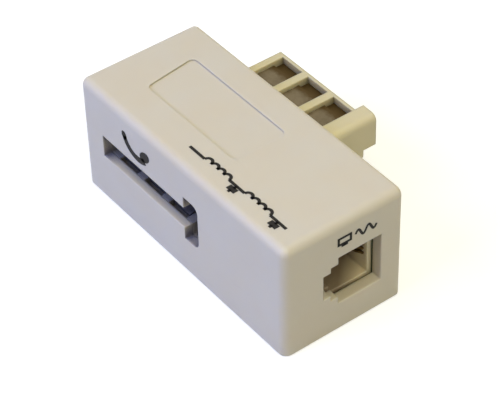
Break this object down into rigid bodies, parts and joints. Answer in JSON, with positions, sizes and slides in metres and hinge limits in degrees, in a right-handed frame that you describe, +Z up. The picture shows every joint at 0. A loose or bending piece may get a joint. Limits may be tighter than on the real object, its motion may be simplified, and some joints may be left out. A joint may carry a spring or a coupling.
{
  "type": "in-line dsl filter",
  "caption": "In-line dsl filter: boxed case with a T-shaped telephone plug at the back, a matching T-slot socket at the front and a modular jack in its end.",
  "frame": {"origin": "centre of the case's flat base, without the plug", "axes": "+X along the case to the end with the modular jack, +Y to the T plug, -Y to the T-slot socket, +Z up to the face with the label recess"},
  "size_m": [0.0576, 0.039, 0.024],
  "materials": {
    "case_plastic": "fine satin moulded ABS, warm ivory",
    "socket_plastic": "satin moulded plastic, ivory",
    "jack_plastic": "satin moulded plastic, sand beige",
    "spring_metal": "nickel-plated bronze strip",
    "blade_metal": "tinned brass strip, dulled",
    "gold_wire": "thin gold plating on bronze wire",
    "board_laminate": "green solder mask on glass laminate",
    "choke_base_plastic": "black moulded plastic",
    "ferrite": "dark grey sintered ferrite",
    "copper_wire": "enamelled copper wire",
    "capacitor_box": "red resin-filled box",
    "resistor_coat": "tan lacquer with colour bands",
    "printed_ink": "dark matt pad-printed ink"
  },
  "bodies": {
    "root": {"outer_case": "case_plastic", "back_cover": "case_plastic", "socket_body": "socket_plastic", "jack_body": "jack_plastic", "socket_spring_lower_1": "spring_metal", "socket_spring_upper_1": "spring_metal", "plug_blade_upper_1": "blade_metal", "plug_blade_lower_1": "blade_metal", "socket_spring_lower_2": "spring_metal", "socket_spring_upper_2": "spring_metal", "plug_blade_upper_2": "blade_metal", "plug_blade_lower_2": "blade_metal", "socket_spring_lower_3": "spring_metal", "socket_spring_upper_3": "spring_metal", "plug_blade_upper_3": "blade_metal", "plug_blade_lower_3": "blade_metal", "jack_wire_1": "gold_wire", "jack_wire_2": "gold_wire", "jack_wire_3": "gold_wire", "jack_wire_4": "gold_wire", "circuit_board": "board_laminate", "choke_base_1": "choke_base_plastic", "choke_core_1": "ferrite", "choke_winding_1": "copper_wire", "film_capacitor_1": "capacitor_box", "resistor_1": "resistor_coat", "choke_base_2": "choke_base_plastic", "choke_core_2": "ferrite", "choke_winding_2": "copper_wire", "film_capacitor_2": "capacitor_box", "resistor_2": "resistor_coat"}
  },
  "joints": []
}
